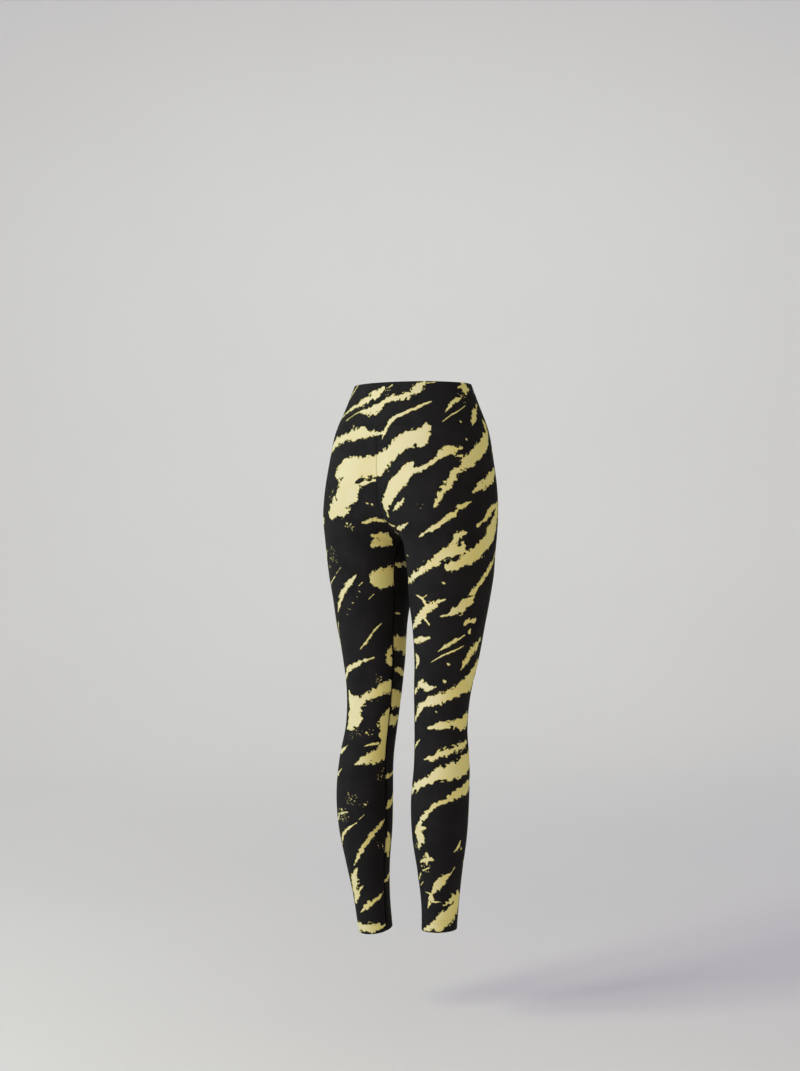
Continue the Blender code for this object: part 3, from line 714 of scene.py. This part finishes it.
def scattered_strokes(rng):
    """Strokes where the photo sees no cloth, clear of each other and of those listed."""
    by_hand = np.vstack([smooth_path(stroke, LAID_SAMPLES) for stroke in BACK_STROKES])
    by_hand[:, 0] = np.sign(by_hand[:, 0]) * (way_round(by_hand[:, 1]) - abs(by_hand[:, 0]))
    taken = [by_hand]
    strokes = []
    for tries, lengths, widths, gap in SCATTER_SIZES:
        for _ in range(tries):
            fork = scattered_fork(rng, rng.uniform(*lengths), rng.uniform(*widths))
            path = np.vstack([smooth_path(stroke, SCATTER_SAMPLES) for stroke in fork])
            if not is_hidden(path):
                continue
            others = np.vstack(taken)
            away = np.hypot(path[:, None, 0] - others[:, 0], path[:, None, 1] - others[:, 1])
            clear = away - 0.5 * (path[:, None, 2] + others[:, 2])
            if (clear > gap).all():
                strokes += fork
                taken.append(path)
    return strokes


def speck_stroke(s, z, width):
    across, up, tip = SPECK_TAIL
    return [(s, z, width), (s + across * width, z + up * width, tip * width)]


def laid(strokes):
    return [Stroke(points) for points in strokes]


BACK_PRINT = laid(BACK_STROKES + [speck_stroke(*speck) for speck in SPECKS])
FRONT_PRINT = laid(scattered_strokes(np.random.default_rng(SCATTER_SEED)))
CUT_PRINT = laid(CUTS)


def print_field(s, t, z):
    return np.maximum(stroke_field(s, z, BACK_PRINT), stroke_field(t, z, FRONT_PRINT))


def spatter_field(s, z):
    """From 1 in the middle of a patch of spatter to 0 outside it."""
    field = np.zeros(s.shape)
    for across, height, radius in SPATTER:
        away = np.hypot(s - across * CM, z - height * CM) / (radius * CM)
        field = np.maximum(field, 1 - away**2)
    return field


def crease_height(side, s, t, z):
    height = np.zeros(s.shape)
    for crease in map(Crease._make, CREASES):
        if (crease.across > 0) != (side == "left"):
            continue
        across = s if crease.chart == "s" else t
        angle = math.radians(crease.angle)
        dx, dz = across - crease.across * CM, z - crease.z * CM
        along = (dx * math.cos(angle) + dz * math.sin(angle)) / (0.5 * crease.length * CM)
        over = (dz * math.cos(angle) - dx * math.sin(angle)) / (0.5 * crease.width * CM)
        taper = np.clip(1 - along**2, 0, 1) ** CREASE_TAPER
        height += crease.height * MM * np.exp(-(over**2)) * taper
    return height


def outward(points, closed_from=None):
    """Unit normals of a grid whose rows go down and whose columns go from the front to the back of
    the left half. Rows from closed_from on are closed rings, so both ends share one normal."""
    along = np.gradient(points, axis=1)
    if closed_from is not None:
        rows = slice(closed_from, None)
        seam = points[rows, 1] - points[rows, -2]
        along[rows, 0] = along[rows, -1] = seam
    down = np.gradient(points, axis=0)
    normal = np.cross(down, along)
    return normal / np.linalg.norm(normal, axis=-1, keepdims=True)


def square_to_middle(normal):
    """Turns the first and last columns' normals into the plane x = 0, where the two halves meet."""
    normal[:, (0, -1), 0] = 0
    normal /= np.linalg.norm(normal, axis=-1, keepdims=True)


def nearness(distance, seam):
    """From 1 on a seam to 0 away from it."""
    return np.exp(-((distance / seam.fade) ** 2))


def fold_over(row, down):
    """A profile's steps round a fold of the cloth at a row, below it or above."""
    turns = np.linspace(0, math.pi, 2 * FOLD_STEPS + 1)[1:]
    return [(row, -down * WALL * math.sin(turn), WALL * (1 - math.cos(turn))) for turn in turns]


def along_profile(outer, normal, profile):
    """Rows of points for a profile's steps: a row of the outer face, a rise, and how far inside."""
    return np.array([outer[i] - normal[i] * inset + (0, 0, rise) for i, rise, inset in profile])


# What each place of the cloth carries, and what each face corner carries besides. seam is how much
# of the seams' painted shade lies there.
PLACE_VALUES = ("s", "z", "t", "print", "spatter", "hem", "seam")
RIDGE_VALUES = ("way", "half", "cut_way", "cut_half")
NO_RIDGE = (RIDGE_REACH, 0.0, RIDGE_REACH, 0.0)


def place_values(s, z, t, above_hem, seam_painted_shade):
    fields = [s, z, t, print_field(s, t, z), spatter_field(s, z), above_hem, seam_painted_shade]
    return np.stack(fields, axis=-1)


def quad_corners(grid):
    """What a grid holds at the four corners of each of its quads."""
    return np.stack([grid[:-1, :-1], grid[1:, :-1], grid[1:, 1:], grid[:-1, 1:]], axis=2)


class Weave:
    """A mesh built row by row, with values at its face corners."""

    def __init__(self):
        self.points = []
        self.faces = []
        self.values = []
        self.materials = []
        self.count = 0

    def add_points(self, points):
        first = self.count
        self.points.append(points.reshape(-1, 3))
        self.count += points.size // 3
        return first + np.arange(points.size // 3).reshape(points.shape[:-1])

    def add_faces(self, index, values, material):
        """Quads over a grid of vertex indices. values holds PLACE_VALUES for each of its places."""
        self.faces += quad_corners(index).reshape(-1, 4).tolist()
        corners = quad_corners(values)
        s, z, t = (corners[..., PLACE_VALUES.index(name)] for name in ("s", "z", "t"))
        ridges = ridge_field([(s, BACK_PRINT), (t, FRONT_PRINT)], z)
        ridges += ridge_field([(s, CUT_PRINT)], z)
        corners = np.concatenate([corners, np.stack(ridges, axis=-1)], axis=-1)
        self.values.append(corners.reshape(-1, corners.shape[-1]))
        self.materials += [material] * ((index.shape[0] - 1) * (index.shape[1] - 1))

    def add_face(self, vertices, values, material):
        self.faces.append([int(v) for v in vertices])
        self.values.append(np.hstack([values, np.tile(NO_RIDGE, (len(values), 1))]))
        self.materials.append(material)

    def mesh(self, name, mirrored):
        points = np.vstack(self.points)
        faces, values = self.faces, np.vstack(self.values)
        if mirrored:
            points = points * (-1, 1, 1)
            parts = np.split(np.arange(len(values)), np.cumsum([len(face) for face in faces])[:-1])
            values = values[np.concatenate([part[::-1] for part in parts])]
            faces = [face[::-1] for face in faces]
        mesh = bpy.data.meshes.new(name)
        mesh.from_pydata(points.tolist(), [], faces)
        flat = mesh.uv_layers.new(name="flat")
        flat.data.foreach_set("uv", values[:, :2].astype(np.float32).ravel())
        for column, attribute in enumerate(PLACE_VALUES + RIDGE_VALUES):
            if attribute not in ("s", "z", "t"):
                layer = mesh.attributes.new(attribute, "FLOAT", "CORNER")
                layer.data.foreach_set("value", values[:, column].astype(np.float32))
        mesh.polygons.foreach_set("material_index", self.materials)
        mesh.shade_smooth()
        mesh.validate()
        mesh.update()
        return mesh


FACE, REVERSE = 0, 1


def column_shares(length, behind):
    """Where the columns of one row lie, from the seam round to the seam again, whether each has
    passed the innermost line, and how far it is from the seam."""
    near = np.array(SEAM_STEPS) / length
    middle = np.linspace(near[-1], 1 - near[-1], COLUMNS + 1)[1:-1]
    place = np.concatenate([near, middle, 1 - near[::-1]]) - behind
    turns = np.where(place < 0, -1, 0)
    return place - turns, turns, np.minimum(place + behind, 1 - place - behind) * length


def leg_grid(side):
    """A leg's outer face as on the left: heights, shares, turns and ways to the seam."""
    even = np.linspace(0, 1, TABLE_SHARES)
    rows = []
    for i, heights in enumerate(leg_heights(side, even)):
        edge = heights[0]
        behind = at_height(edge, INSEAM_BEHIND)[0] if i > CROTCH_ROW else 0.0
        length = form.front_way(edge) + form.back_way(edge)
        share, turns, way = column_shares(length, behind)
        rows.append((np.interp(share, even, heights), share, turns, way))
    return np.array(rows).transpose(1, 0, 2)


def leg_mesh(side):
    sign = 1 if side == "left" else -1
    z, share, turns, way = leg_grid(side)
    s, t = form.flat(z, share, turns)
    s, t = sign * s, sign * t
    skin = form.point(z, share)
    skin[CROTCH_ROW:, -1] = skin[CROTCH_ROW:, 0]
    normal = outward(skin, closed_from=CROTCH_ROW)
    square_to_middle(normal[:CROTCH_ROW])

    over_crotch = np.arange(len(z))[:, None] < CROTCH_ROW
    rise_near, inseam_near = nearness(way, RISE_SEAM), nearness(way, INSEAM)
    band_near = nearness(z[0] - z, BAND_SEAM)
    seam_depth = np.where(over_crotch, RISE_SEAM.depth * rise_near, INSEAM.depth * inseam_near)
    # How far each place turns to the near-black painted shade of a seam's groove
    seam_painted_shade = np.where(over_crotch, RISE_SEAM.dark * rise_near, INSEAM.dark * inseam_near)
    seam_painted_shade = np.maximum(seam_painted_shade, BAND_SEAM.dark * band_near)
    lift = crease_height(side, s, t, z) - seam_depth - BAND_SEAM.depth * band_near
    lift[CROTCH_ROW:, -1] = lift[CROTCH_ROW:, 0]
    outer = skin + normal * lift[..., None]
    outer[:CROTCH_ROW, (0, -1), 0] = SEAM_GAP / 2
    values = place_values(s, z, t, z - hem_z(side, share), seam_painted_shade)

    last = len(z) - 1
    raw_edge = last - ROWS_IN_TURN_UP
    profile = fold_over(last, down=1)
    turned_rows = range(last - DOUBLED_EVERY, raw_edge, -DOUBLED_EVERY)
    profile += [(row, 0.0, 2 * WALL) for row in turned_rows]
    profile += [(raw_edge, 0.0, 2 * WALL), (raw_edge, RAW_EDGE_STEP, WALL)]
    turned_up = len(profile)
    inner_rows = list(range(raw_edge - INNER_EVERY, CROTCH_ROW, -INNER_EVERY))
    inner_rows += list(range(CROTCH_ROW, 0, -INNER_EVERY)) + [0]
    profile += [(row, 0.0, WALL) for row in inner_rows]
    inner = along_profile(outer, normal, profile)
    profile_rows = np.array([row for row, _, _ in profile])
    over_crotch = profile_rows < CROTCH_ROW
    inner[over_crotch, :, 0] = np.maximum(inner[over_crotch, :, 0], SEAM_GAP / 2)
    inner[over_crotch, 0, 0] = inner[over_crotch, -1, 0] = SEAM_GAP / 2

    weave = Weave()
    outer_index = weave.add_points(outer)
    outer_index[CROTCH_ROW:, -1] = outer_index[CROTCH_ROW:, 0]
    inner_index = weave.add_points(inner)
    inner_index[~over_crotch, -1] = inner_index[~over_crotch, 0]
    index = np.vstack([outer_index[-1:], inner_index])
    inner_values = values[np.append(last, profile_rows)]
    weave.add_faces(outer_index, values, FACE)
    weave.add_faces(index[:turned_up], inner_values[:turned_up], FACE)
    weave.add_faces(index[turned_up - 1 :], inner_values[turned_up - 1 :], REVERSE)
    weave.add_faces(np.vstack([index[-1:], outer_index[:1]]), values[[0, 0]], REVERSE)
    close_rise_edges(weave, outer_index, inner_index, profile, values)
    return weave.mesh("leg_" + side, mirrored=side == "right")


def close_rise_edges(weave, outer, inner, profile, values):
    """The cut edges of the cloth at the rise seam, front and back."""
    rows = [(row, k) for k, (row, _, _) in enumerate(profile) if row <= CROTCH_ROW]
    for (low, low_k), (high, high_k) in zip(rows, rows[1:]):
        span = list(range(low, high - 1, -1))
        for column, way in ((0, 1), (-1, -1)):
            ring = list(inner[(high_k, low_k), column]) + list(outer[span, column])
            corners = values[[high, low] + span, column]
            weave.add_face(ring[::way], corners[::way], REVERSE)


def band_mesh():
    """The waistband: one ring, folded double at its top edge. Its two halves are laid one after the
    other, because s and t change sign where they meet."""
    share = np.linspace(0, 1, BAND_COLUMNS // 2 + 1)
    seam = band_seam_z(share)
    bottom = seam + RIM_STEPS[-1]
    top = np.full_like(share, -WALL)
    rim = [seam + step for step in RIM_STEPS[-2::-1]]
    z = np.array([top] + spread(top, bottom, BAND_ROWS) + rim)
    share = np.broadcast_arrays(share, z)[0]
    skin = form.point(z, share)
    normal = outward(skin)
    square_to_middle(normal)
    band_near = nearness(z - seam, BAND_SEAM)

    last = len(z) - 1
    profile = [(row, 0.0, 0.0) for row in range(last, -1, -1)] + fold_over(0, down=-1)
    inner_rows = list(range(DOUBLED_EVERY, last, DOUBLED_EVERY)) + [last]
    profile += [(row, 0.0, BAND_WALL) for row in inner_rows]
    profile_rows = [row for row, _, _ in profile]

    weave = Weave()
    ends = None
    for side, sign in (("left", 1), ("right", -1)):
        s, t = form.flat(z, share)
        s, t = sign * s, sign * t
        lift = crease_height(side, s, t, z) - BAND_SEAM.depth * band_near
        outer = skin + normal * lift[..., None]
        rows = along_profile(outer, normal, profile) * (sign, 1, 1)
        if ends is None:
            index = weave.add_points(rows)
            ends = index[:, :1], index[:, -1:]
        else:
            index = np.hstack([ends[0], weave.add_points(rows[:, 1:-1]), ends[1]])
        index = np.vstack([index, index[:1]])
        # The band seam's painted shade of its groove goes along with the place values
        values = place_values(s, z, t, np.ones_like(s), BAND_SEAM.dark * band_near)
        values = values[profile_rows + profile_rows[:1]]
        weave.add_faces(index[::-1, ::sign], values[::-1, ::sign], FACE)
    return weave.mesh("waistband", mirrored=False)


# Materials

CHARCOAL = (0.0147, 0.0150, 0.0167)
CHARCOAL_LIGHT = (0.0195, 0.0198, 0.0218)
# Near-black painted shade for the seams' grooves
SEAM_PAINTED_SHADE = (0.0040, 0.0038, 0.0038)
YELLOW = (0.745, 0.722, 0.405)
YELLOW_DEEP = (0.735, 0.662, 0.310)
THREAD_DARK = (0.05, 0.045, 0.03)
REVERSE_DARK = (0.120, 0.118, 0.122)
REVERSE_PALE = (0.560, 0.520, 0.330)
FUZZ_COLOUR = (0.3, 0.29, 0.26)

# What tears the outlines: scales per metre, and how many tears' depth each shifts an outline by
TEARING_NOISE = ((65, 5.5), (190, 3.8))
TEARING_CELLS = ((130, 1.5), (250, 1.7))
OUTLINE_SHARPNESS = 6.0
# Drops of spatter: cells per metre, and the share of them that hold a drop in the middle of a patch
DROPS = ((200, 0.30), (430, 0.42))
DROP_SMALLEST = 0.16  # radius, as a share of a cell
DROP_GROWTH = 0.36
DROP_ROUGHNESS = (900, 0.24)
DROP_SHARPNESS = 9.0

CLOUDS = 28  # per metre, where both colours turn deeper
CLOUD_CONTRAST = 2.0
WALES = 320.0  # the knit's columns and rows, as wave scales
COURSES = 400.0
COURSE_DEPTH = 0.5
SLUBS = (900, 0.6)
RELIEF = 0.0002
RELIEF_STRENGTH = 0.30
STITCH_LENGTH = 0.0016
STITCH_GAP = 0.0003
STITCH_ROWS = (0.0165, 0.0218)  # above the hem's edge
THREAD = 0.0006
THREAD_SHADE = 0.35
THREAD_RELIEF = 1.5
SHOW_THROUGH = 0.75
FUZZ = (700, 0.25)
ROUGHNESS = 0.82
PRINT_ROUGHENS = 0.05
REVERSE_ROUGHNESS = 0.92
KNIT_FINISH = {
    "Specular IOR Level": 0.06,
    "Sheen Weight": 0.01,
    "Sheen Roughness": 0.5,
    "Sheen Tint": (0.9, 0.92, 1.0, 1.0),
}


class Nodes:
    """A material's node tree, built one node at a time."""

    def __init__(self, name):
        self.material = bpy.data.materials.new(name)
        self.material.use_nodes = True
        self.tree = self.material.node_tree
        self.shader = self.tree.nodes["Principled BSDF"]

    def add(self, kind, inputs=(), **settings):
        node = self.tree.nodes.new(kind)
        for key, value in settings.items():
            setattr(node, key, value)
        for key, value in dict(inputs).items():
            self.feed(node.inputs[key], value)
        return node

    def feed(self, socket, value):
        if isinstance(value, bpy.types.NodeSocket):
            self.tree.links.new(value, socket)
        else:
            socket.default_value = value

    def maths(self, operation, *values, clamp=False):
        node = self.add("ShaderNodeMath", operation=operation, use_clamp=clamp)
        for socket, value in zip(node.inputs, values):
            self.feed(socket, value)
        return node.outputs[0]

    def times(self, value, factor):
        return self.maths("MULTIPLY", value, factor)

    def scaled(self, value, factor, offset, clamp=False):
        return self.maths("MULTIPLY_ADD", value, factor, offset, clamp=clamp)

    def mix(self, factor, first, second):
        node = self.add("ShaderNodeMix", data_type="RGBA")
        self.feed(node.inputs["Factor"], factor)
        for slot, colour in ((6, first), (7, second)):
            self.feed(node.inputs[slot], (*colour, 1) if isinstance(colour, tuple) else colour)
        return node.outputs[2]

    def attribute(self, name):
        return self.add("ShaderNodeAttribute", attribute_name=name).outputs["Fac"]

    def inside(self, way, half):
        """How deep a point lies inside a stroke, in metres."""
        half = self.attribute(half)
        return self.maths("SUBTRACT", half, self.maths("ABSOLUTE", self.attribute(way)))

    def cells(self, vector, scale):
        """The distance from a cell's own point, in cells, and two random numbers for each cell."""
        node = self.add("ShaderNodeTexVoronoi", {"Vector": vector, "Scale": scale})
        chance = self.add("ShaderNodeSeparateColor", {"Color": node.outputs["Color"]})
        return node.outputs["Distance"], chance.outputs["Red"], chance.outputs["Green"]

    def noise(self, vector, scale, detail=2.0):
        inputs = {"Vector": vector, "Scale": scale, "Detail": detail}
        return self.add("ShaderNodeTexNoise", inputs).outputs["Fac"]


def torn_print(nodes, place):
    """1 on the pale strokes and the spatter, with their torn outlines, and 0 on the ground."""
    torn = nodes.times(nodes.attribute("half"), RAGGED)
    torn = nodes.maths("MAXIMUM", nodes.maths("MINIMUM", torn, RAGGED_MOST), RAGGED_LEAST)
    ridge = nodes.maths("DIVIDE", nodes.inside("way", "half"), torn)
    cut = nodes.maths("DIVIDE", nodes.inside("cut_way", "cut_half"), -RAGGED_CUT)
    depth = nodes.maths("MINIMUM", nodes.maths("MAXIMUM", nodes.attribute("print"), ridge), cut)
    tears = [(nodes.noise(place, scale, detail=1.0), shift) for scale, shift in TEARING_NOISE]
    tears += [(nodes.cells(place, scale)[1], shift) for scale, shift in TEARING_CELLS]
    for value, shift in tears:
        depth = nodes.maths("ADD", depth, nodes.scaled(value, shift, -0.5 * shift))
    strokes = nodes.scaled(depth, OUTLINE_SHARPNESS, 0.5, clamp=True)

    drops = 0.0
    spatter = nodes.attribute("spatter")
    rough_scale, rough_size = DROP_ROUGHNESS
    for scale, share in DROPS:
        away, chance, size = nodes.cells(place, scale)
        radius = nodes.scaled(nodes.maths("POWER", size, 2.0), DROP_GROWTH, DROP_SMALLEST)
        rough = nodes.scaled(nodes.cells(place, rough_scale)[1], rough_size, -0.5 * rough_size)
        drop = nodes.maths("SUBTRACT", nodes.maths("ADD", radius, rough), away)
        drop = nodes.scaled(drop, DROP_SHARPNESS, 0.5, clamp=True)
        drawn = nodes.maths("LESS_THAN", chance, nodes.times(spatter, share))
        drops = nodes.maths("MAXIMUM", drops, nodes.times(drop, drawn))
    return nodes.maths("MAXIMUM", strokes, drops)


def knit_height(nodes, flat):
    """The jersey's own relief: columns of small V stitches that run down the leg."""
    wales, courses = (
        nodes.add("ShaderNodeTexWave", {"Vector": flat, "Scale": scale}, bands_direction=way)
        for scale, way in ((WALES, "X"), (COURSES, "Y"))
    )
    dips = nodes.scaled(courses.outputs["Fac"], COURSE_DEPTH, 1 - COURSE_DEPTH)
    stitches = nodes.times(wales.outputs["Fac"], dips)
    slub_scale, slub_height = SLUBS
    slubs = nodes.noise(flat, slub_scale)
    return nodes.maths("ADD", stitches, nodes.times(slubs, slub_height))


def hem_stitching(nodes, flat):
    """1 on the two rows of the hem's coverstitch, and 0 elsewhere."""
    height = nodes.attribute("hem")
    across = nodes.add("ShaderNodeSeparateXYZ", {"Vector": flat}).outputs["X"]
    dash = nodes.maths("GREATER_THAN", nodes.maths("PINGPONG", across, STITCH_LENGTH), STITCH_GAP)
    rows = 0.0
    for place in STITCH_ROWS:
        away = nodes.maths("ABSOLUTE", nodes.maths("SUBTRACT", height, place))
        rows = nodes.maths("MAXIMUM", rows, nodes.scaled(away, -1 / THREAD, 1.0, clamp=True))
    return nodes.times(rows, dash)


def start_knit(name):
    """A knit's nodes, its flat coordinates, where it lies, and where it is pale."""
    nodes = Nodes(name)
    place = nodes.add("ShaderNodeTexCoord").outputs["Object"]
    flat = nodes.add("ShaderNodeUVMap", uv_map="flat").outputs["UV"]
    return nodes, flat, place, torn_print(nodes, place)


def finish_knit(nodes, colour, height, roughness):
    inputs = nodes.shader.inputs
    nodes.feed(inputs["Base Color"], colour)
    nodes.feed(inputs["Roughness"], roughness)
    for name, value in KNIT_FINISH.items():
        inputs[name].default_value = value
    relief = {"Height": height, "Strength": RELIEF_STRENGTH, "Distance": RELIEF}
    nodes.feed(inputs["Normal"], nodes.add("ShaderNodeBump", relief).outputs["Normal"])
    return nodes.material


def printed_face():
    nodes, flat, place, pale = start_knit("printed_knit_face")
    cloud = nodes.noise(place, CLOUDS)
    cloud = nodes.scaled(cloud, CLOUD_CONTRAST, 0.5 - 0.5 * CLOUD_CONTRAST, clamp=True)
    yellow = nodes.mix(cloud, YELLOW, YELLOW_DEEP)
    ground = nodes.mix(cloud, CHARCOAL, CHARCOAL_LIGHT)
    # Along the seams the colour turns to their near-black painted shade
    colour = nodes.mix(nodes.attribute("seam"), nodes.mix(pale, ground, yellow), SEAM_PAINTED_SHADE)
    stitches = hem_stitching(nodes, flat)
    colour = nodes.mix(nodes.times(stitches, THREAD_SHADE), colour, THREAD_DARK)
    height = nodes.maths("ADD", knit_height(nodes, flat), nodes.times(stitches, THREAD_RELIEF))
    roughness = nodes.scaled(pale, PRINT_ROUGHENS, ROUGHNESS)
    return finish_knit(nodes, colour, height, roughness)


def faded_reverse():
    """Inside the legs the print shows through faintly."""
    nodes, flat, place, pale = start_knit("printed_knit_reverse")
    colour = nodes.mix(nodes.times(pale, SHOW_THROUGH), REVERSE_DARK, REVERSE_PALE)
    fuzz_scale, fuzz_share = FUZZ
    fuzz = nodes.noise(place, fuzz_scale)
    colour = nodes.mix(nodes.times(fuzz, fuzz_share), colour, FUZZ_COLOUR)
    return finish_knit(nodes, colour, knit_height(nodes, flat), REVERSE_ROUGHNESS)


face_material = printed_face()
reverse_material = faded_reverse()


def add_garment_piece(name, node, mesh):
    mesh.materials.append(face_material)
    mesh.materials.append(reverse_material)
    piece = bpy.data.objects.new(name, mesh)
    bpy.context.scene.collection.objects.link(piece)
    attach(piece, "root")
    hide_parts(node)
    return piece


band = add_garment_piece("waistband_cloth", "waistband", band_mesh())
left = add_garment_piece("leg_left_cloth", "leg_left", leg_mesh("left"))
right = add_garment_piece("leg_right_cloth", "leg_right", leg_mesh("right"))


# Studio

CAMERA_AT = (-1.821, 2.632, -0.27)
CAMERA_FACING = (0.574, -0.819, 0.0)
SENSOR = 36
LENS = SENSOR * 1780 / 1071  # a focal length of 1780 pixels on the photo's 1071
MIDDLE = (0.0, 0.0, -0.5)
WORLD_COLOUR = (1.0, 0.92, 0.80, 1.0)
WORLD_STRENGTH = 0.42

# Curve points of the scene's linear tones: 2 is the blue channel and 3 is all three
GRADE = {
    2: [(0.03, 0.028), (0.11, 0.080), (0.175, 0.138), (0.24, 0.235), (0.36, 0.425), (0.60, 0.60)],
    3: [(0.008, 0.0055), (0.0165, 0.0128), (0.026, 0.0255), (0.06, 0.06), (0.30, 0.30)],
}

# The backdrop is turned from a floor, a cove and a wall
FLOOR_Z = -1.13
BOWL_FLOOR = 3.2
BOWL_COVE = 2.2
BOWL_HEIGHT = 4.5
BOWL_MIDDLE = 0.02
BOWL_RINGS = 12
COVE_RINGS = 24
BOWL_SIDES = 96
PAPER = (0.850, 0.860, 0.875)
PAPER_LIGHT = (0.880, 0.890, 0.905)
PAPER_CLOUDS = 1.5  # per metre
PAPER_ROUGHNESS = 0.95
PAPER_SPECULAR = 0.1


def studio_paper():
    nodes = Nodes("studio_paper")
    tone = nodes.noise(nodes.add("ShaderNodeTexCoord").outputs["Object"], PAPER_CLOUDS)
    nodes.feed(nodes.shader.inputs["Base Color"], nodes.mix(tone, PAPER, PAPER_LIGHT))
    nodes.shader.inputs["Roughness"].default_value = PAPER_ROUGHNESS
    nodes.shader.inputs["Specular IOR Level"].default_value = PAPER_SPECULAR
    return nodes.material


def studio_bowl():
    """A pale floor that curves up into a round wall, so every view has the same plain backdrop."""
    floor = np.linspace(BOWL_MIDDLE, BOWL_FLOOR, BOWL_RINGS)
    cove = np.linspace(0, math.pi / 2, COVE_RINGS + 1)[1:]
    wall = BOWL_FLOOR + BOWL_COVE
    radius = np.concatenate([floor, BOWL_FLOOR + BOWL_COVE * np.sin(cove), [wall]])[:, None]
    rise = np.concatenate([np.zeros(BOWL_RINGS), BOWL_COVE * (1 - np.cos(cove)), [BOWL_HEIGHT]])
    height = FLOOR_Z + rise[:, None]
    turns = np.linspace(0, 2 * math.pi, BOWL_SIDES, endpoint=False)
    rings = radius * np.cos(turns), radius * np.sin(turns), height
    points = np.stack(np.broadcast_arrays(*rings), axis=-1)
    ring = np.arange(points.size // 3).reshape(points.shape[:-1])
    after = np.roll(ring, -1, axis=1)
    quads = np.stack([ring[:-1], ring[1:], after[1:], after[:-1]], axis=-1).reshape(-1, 4)
    mesh = bpy.data.meshes.new("studio")
    mesh.from_pydata(points.reshape(-1, 3).tolist(), [], [ring[0].tolist()] + quads.tolist())
    mesh.shade_smooth()
    mesh.materials.append(studio_paper())
    bowl = bpy.data.objects.new("studio_bowl", mesh)
    bpy.context.scene.collection.objects.link(bowl)


def aim(obj, at, facing):
    obj.location = at
    obj.rotation_euler = Vector(facing).to_track_quat("-Z", "Y").to_euler()
    bpy.context.scene.collection.objects.link(obj)


def add_light(name, at, target, size, power, colour):
    light = bpy.data.lights.new(name, "AREA")
    light.shape = "RECTANGLE"
    light.size, light.size_y = size
    light.energy = power
    light.color = colour
    lamp = bpy.data.objects.new(name, light)
    lamp.visible_camera = False
    aim(lamp, at, Vector(target) - Vector(at))


def add_camera():
    camera = bpy.data.cameras.new("camera")
    camera.sensor_width = SENSOR
    camera.lens = LENS
    view = bpy.data.objects.new("camera", camera)
    aim(view, CAMERA_AT, CAMERA_FACING)
    bpy.context.scene.camera = view


def add_world():
    world = bpy.data.worlds.new("world")
    world.use_nodes = True
    background = world.node_tree.nodes["Background"]
    background.inputs["Color"].default_value = WORLD_COLOUR
    background.inputs["Strength"].default_value = WORLD_STRENGTH
    bpy.context.scene.world = world


def grade():
    """The photo's own tone: blacks that deepen in the shade, and yellows that turn golden there."""
    view = bpy.context.scene.view_settings
    view.view_transform = "Standard"
    view.use_curve_mapping = True
    for channel, points in GRADE.items():
        curve = view.curve_mapping.curves[channel]
        for tone, graded in points:
            curve.points.new(tone, graded)
    view.curve_mapping.update()


studio_bowl()
add_camera()
add_world()
add_light("key", (1.6, 3.2, 1.5), MIDDLE, (1.9, 1.9), 94, (0.89, 0.95, 1.0))
add_light("warm fill", (-2.05, 2.4, -0.4), MIDDLE, (1.2, 1.1), 13, (1.0, 0.56, 0.16))
add_light("backdrop", (1.7, -2.4, 1.7), (3.1, -4.4, -0.8), (2.0, 1.0), 15, (0.93, 0.97, 1.0))
grade()
